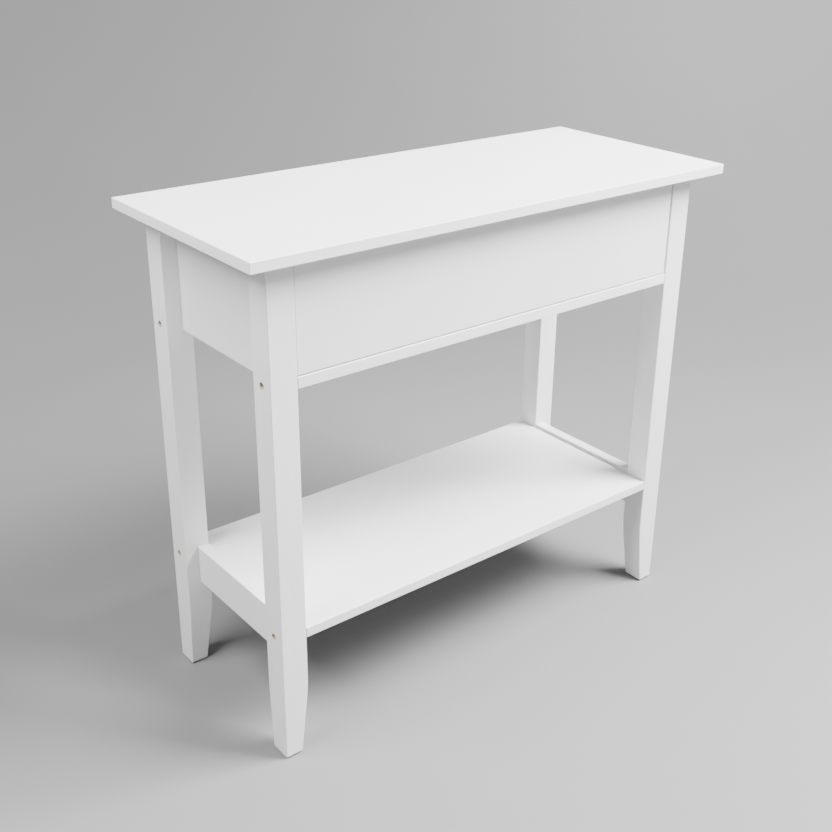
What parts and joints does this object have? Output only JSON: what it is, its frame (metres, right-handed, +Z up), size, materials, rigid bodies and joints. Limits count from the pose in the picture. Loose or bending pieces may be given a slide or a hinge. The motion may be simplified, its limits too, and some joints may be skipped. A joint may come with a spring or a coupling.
{
  "type": "console table",
  "caption": "Narrow rectangular console table with square legs tapered at the foot, a handle-less inset drawer under an overhanging top, and a low open shelf.",
  "frame": {"origin": "on the floor, under the middle of the table top", "axes": "+X along the length to the right as seen from the front, +Y to the back, +Z up; the drawer opens towards -Y"},
  "size_m": [0.844, 0.357, 0.75],
  "materials": {
    "white_lacquer": "satin white lacquer over medium density fibreboard, edges eased; the bare board shows light tan only inside the screw holes",
    "hardboard": "thin hardboard, painted white on the face that shows, matt",
    "beech_dowel": "raw beech with pressed flutes, glued in",
    "zinc_steel": "bright zinc plated steel screws",
    "white_runner": "white powder coated pressed steel",
    "white_nylon": "moulded nylon",
    "glide_plastic": "dark moulded plastic nail-on glide"
  },
  "bodies": {
    "table": {"back_panel": "white_lacquer", "back_panel_dowel_left": "beech_dowel", "back_panel_dowel_right": "beech_dowel", "back_rail": "white_lacquer", "cabinet_slide_left": "white_runner", "cabinet_slide_right": "white_runner", "end_rail_dowel_back_left": "beech_dowel", "end_rail_dowel_back_right": "beech_dowel", "end_rail_dowel_front_left": "beech_dowel", "end_rail_dowel_front_right": "beech_dowel", "end_rail_left": "white_lacquer", "end_rail_right": "white_lacquer", "floor_glide_back_left": "glide_plastic", "floor_glide_back_right": "glide_plastic", "floor_glide_front_left": "glide_plastic", "floor_glide_front_right": "glide_plastic", "front_rail": "white_lacquer", "leg_back_left": "white_lacquer", "leg_back_right": "white_lacquer", "leg_front_left": "white_lacquer", "leg_front_right": "white_lacquer", "rail_screw_back_left": "zinc_steel", "rail_screw_back_right": "zinc_steel", "rail_screw_front_left": "zinc_steel", "rail_screw_front_right": "zinc_steel", "shelf": "white_lacquer", "shelf_screw_back_left": "zinc_steel", "shelf_screw_back_right": "zinc_steel", "shelf_screw_front_left": "zinc_steel", "shelf_screw_front_right": "zinc_steel", "side_panel_dowel_back_left_lower": "beech_dowel", "side_panel_dowel_back_left_upper": "beech_dowel", "side_panel_dowel_back_right_lower": "beech_dowel", "side_panel_dowel_back_right_upper": "beech_dowel", "side_panel_dowel_front_left_lower": "beech_dowel", "side_panel_dowel_front_left_upper": "beech_dowel", "side_panel_dowel_front_right_lower": "beech_dowel", "side_panel_dowel_front_right_upper": "beech_dowel", "side_panel_left": "white_lacquer", "side_panel_right": "white_lacquer", "table_top": "white_lacquer", "top_screw_back_left": "zinc_steel", "top_screw_back_right": "zinc_steel", "top_screw_front_left": "zinc_steel", "top_screw_front_right": "zinc_steel"},
    "drawer": {"drawer_back": "white_lacquer", "drawer_dowel_left_lower": "beech_dowel", "drawer_dowel_left_upper": "beech_dowel", "drawer_dowel_right_lower": "beech_dowel", "drawer_dowel_right_upper": "beech_dowel", "drawer_floor": "hardboard", "drawer_front": "white_lacquer", "drawer_side_left": "white_lacquer", "drawer_side_right": "white_lacquer", "drawer_slide_left": "white_runner", "drawer_slide_right": "white_runner"},
    "front_roller_left": {"front_roller_left": "white_nylon"},
    "rear_roller_left": {"rear_roller_left": "white_nylon"},
    "front_roller_right": {"front_roller_right": "white_nylon"},
    "rear_roller_right": {"rear_roller_right": "white_nylon"}
  },
  "joints": [
    {"name": "drawer_slide", "type": "slide", "parent": "table", "child": "drawer", "axis": [0, -1, 0], "range_m": [0, 0.19]},
    {"name": "front_roller_left_spin", "type": "hinge", "parent": "table", "child": "front_roller_left", "pos_m": [-0.3381, -0.12, 0.5995], "axis": [1, 0, 0], "range_deg": [0, 1290]},
    {"name": "rear_roller_left_spin", "type": "hinge", "parent": "drawer", "child": "rear_roller_left", "pos_m": [-0.3381, 0.105, 0.599], "axis": [1, 0, 0], "range_deg": [0, 1290]},
    {"name": "front_roller_right_spin", "type": "hinge", "parent": "table", "child": "front_roller_right", "pos_m": [0.3381, -0.12, 0.5995], "axis": [1, 0, 0], "range_deg": [0, 1290]},
    {"name": "rear_roller_right_spin", "type": "hinge", "parent": "drawer", "child": "rear_roller_right", "pos_m": [0.3381, 0.105, 0.599], "axis": [1, 0, 0], "range_deg": [0, 1290]}
  ],
  "couplings": [
    {"joint": "front_roller_left_spin", "follows": "drawer_slide", "rad_per_m": 117.65},
    {"joint": "rear_roller_left_spin", "follows": "drawer_slide", "rad_per_m": 117.65},
    {"joint": "front_roller_right_spin", "follows": "drawer_slide", "rad_per_m": 117.65},
    {"joint": "rear_roller_right_spin", "follows": "drawer_slide", "rad_per_m": 117.65}
  ]
}
